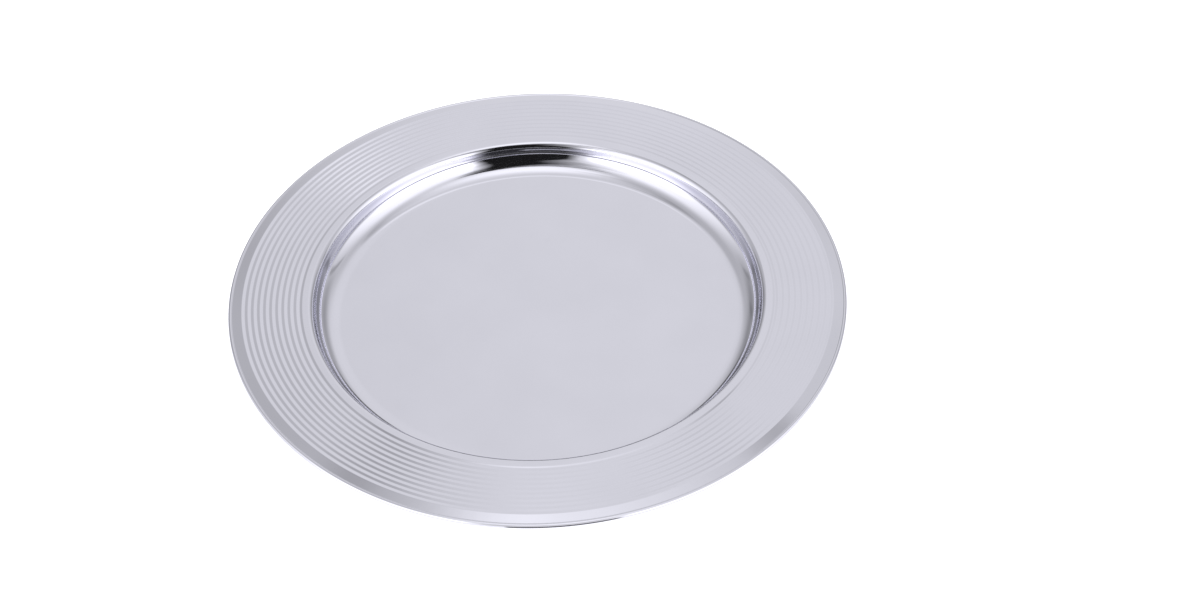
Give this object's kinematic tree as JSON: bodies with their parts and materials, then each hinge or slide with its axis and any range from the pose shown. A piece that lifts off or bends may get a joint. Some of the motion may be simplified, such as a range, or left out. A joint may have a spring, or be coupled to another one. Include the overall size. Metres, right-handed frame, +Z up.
{
  "type": "charger plate",
  "caption": "Round metal charger plate with a flat-bottomed well, a wide level rim with concentric grooves and a rolled, wired edge.",
  "frame": {"origin": "centre of the underside, where the flat bottom rests on the table", "axes": "+Z up through the centre of the plate, square to its floor; +X and +Y lie in the table plane, with no preferred direction because the plate is round"},
  "size_m": [0.3299, 0.33, 0.0139],
  "materials": {
    "bright_metal": "mirror-polished silver sheet metal, a touch softer on the floor of the well",
    "edge_wire": "drawn round steel wire, hidden inside the rolled edge"
  },
  "bodies": {
    "root": {"plate_shell": "bright_metal", "edge_wire": "edge_wire"}
  },
  "joints": []
}
